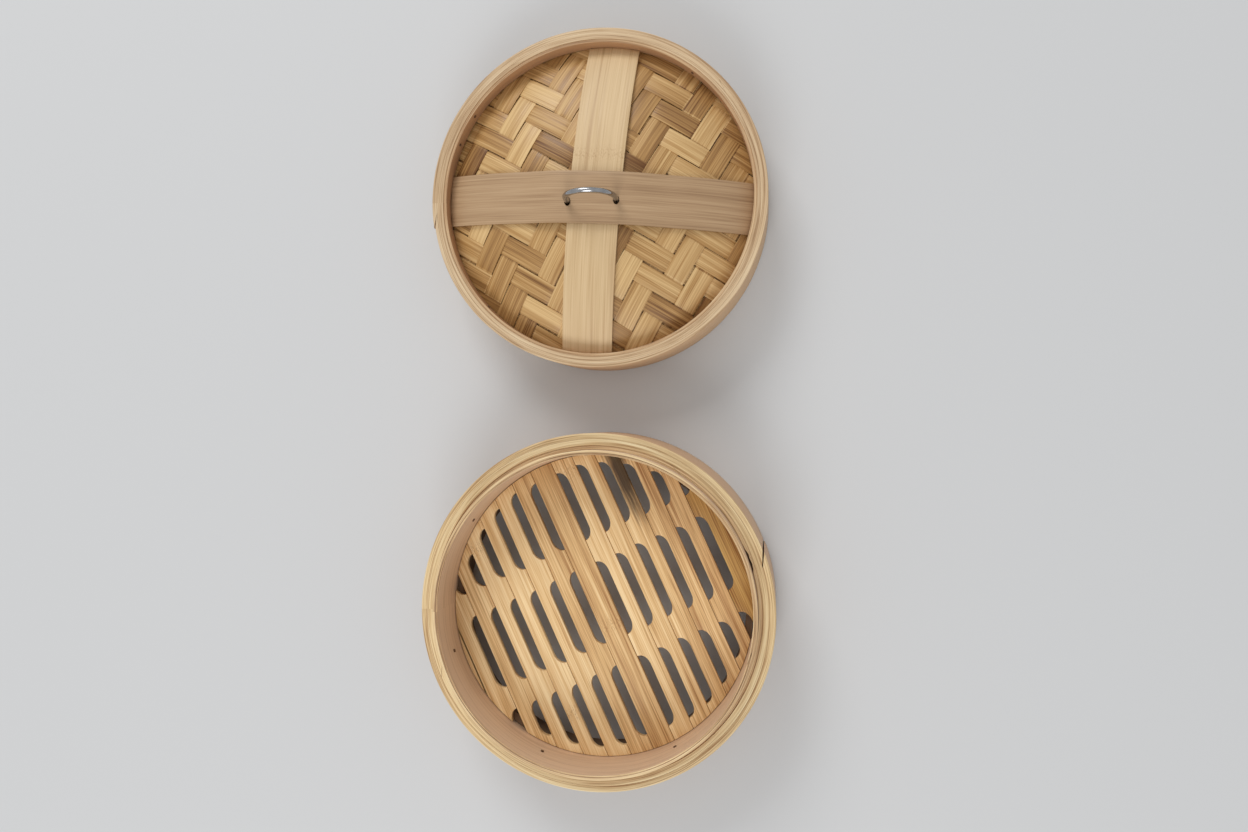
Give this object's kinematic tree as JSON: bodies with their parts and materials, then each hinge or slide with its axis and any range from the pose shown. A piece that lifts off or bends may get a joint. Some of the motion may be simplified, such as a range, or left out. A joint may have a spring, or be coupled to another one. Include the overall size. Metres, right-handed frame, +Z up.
{
  "type": "bamboo steamer basket",
  "caption": "Round bamboo steamer tier with a slotted slat floor, and its domed woven lid with crossed bands and a wire loop handle, lying beside it.",
  "frame": {"origin": "on the table, midway along the basket and the lid lying beside it", "axes": "+Z up; +Y from the basket to the lid; +X to the right of someone facing +Y"},
  "size_m": [0.2, 0.4314, 0.0756],
  "materials": {
    "rim_bamboo": "bare cream-yellow bamboo strip with fine edge grain",
    "inner_bamboo": "smooth pinkish-brown bamboo skin",
    "slat_bamboo": "planed orange-tan bamboo with long grain and a few nodes",
    "lid_bamboo": "bare light tan bamboo strip",
    "woven_bamboo": "thin golden split bamboo, slightly glossy",
    "lining_bamboo": "thin dull bamboo sheet",
    "light_band": "pale straw-coloured bamboo band",
    "grey_band": "greyish tan bamboo band",
    "steel_wire": "bright bent steel wire"
  },
  "bodies": {
    "basket": {"basket_outer_hoop": "rim_bamboo", "basket_middle_hoop": "rim_bamboo", "basket_core_hoop": "inner_bamboo", "basket_tongue_strip": "inner_bamboo", "basket_liner_strip": "inner_bamboo", "slat_support_ring": "inner_bamboo", "slat_centre": "slat_bamboo", "slat_left_1": "slat_bamboo", "slat_right_1": "slat_bamboo", "slat_left_2": "slat_bamboo", "slat_right_2": "slat_bamboo", "slat_left_3": "slat_bamboo", "slat_right_3": "slat_bamboo", "slat_left_4": "slat_bamboo", "slat_right_4": "slat_bamboo", "slat_left_5": "slat_bamboo", "slat_right_5": "slat_bamboo", "slat_left_6": "slat_bamboo", "slat_right_6": "slat_bamboo", "slat_filler": "slat_bamboo", "batten_far": "slat_bamboo", "batten_near": "slat_bamboo"},
    "lid": {"lid_outer_hoop": "lid_bamboo", "lid_middle_hoop": "lid_bamboo", "lid_core_hoop": "lid_bamboo", "lid_upper_ring": "lid_bamboo", "lid_lower_ring": "inner_bamboo", "lid_lining": "lining_bamboo", "weave_first_01": "woven_bamboo", "weave_first_02": "woven_bamboo", "weave_first_03": "woven_bamboo", "weave_first_04": "woven_bamboo", "weave_first_05": "woven_bamboo", "weave_first_06": "woven_bamboo", "weave_first_07": "woven_bamboo", "weave_first_08": "woven_bamboo", "weave_first_09": "woven_bamboo", "weave_first_10": "woven_bamboo", "weave_first_11": "woven_bamboo", "weave_first_12": "woven_bamboo", "weave_first_13": "woven_bamboo", "weave_first_14": "woven_bamboo", "weave_first_15": "woven_bamboo", "weave_second_01": "woven_bamboo", "weave_second_02": "woven_bamboo", "weave_second_03": "woven_bamboo", "weave_second_04": "woven_bamboo", "weave_second_05": "woven_bamboo", "weave_second_06": "woven_bamboo", "weave_second_07": "woven_bamboo", "weave_second_08": "woven_bamboo", "weave_second_09": "woven_bamboo", "weave_second_10": "woven_bamboo", "weave_second_11": "woven_bamboo", "weave_second_12": "woven_bamboo", "weave_second_13": "woven_bamboo", "weave_second_14": "woven_bamboo", "lid_lower_band": "light_band", "lid_upper_band": "grey_band"},
    "handle": {"handle_wire": "steel_wire"}
  },
  "joints": [
    {"name": "lid_lift", "type": "slide", "parent": "basket", "child": "lid", "axis": [0, 0, 1], "range_m": [0, 0.12]},
    {"name": "handle_rock", "type": "hinge", "parent": "lid", "child": "handle", "pos_m": [-0.0006, 0.11345, 0.05104], "axis": [1, 0, 0], "range_deg": [-6, 14]}
  ]
}
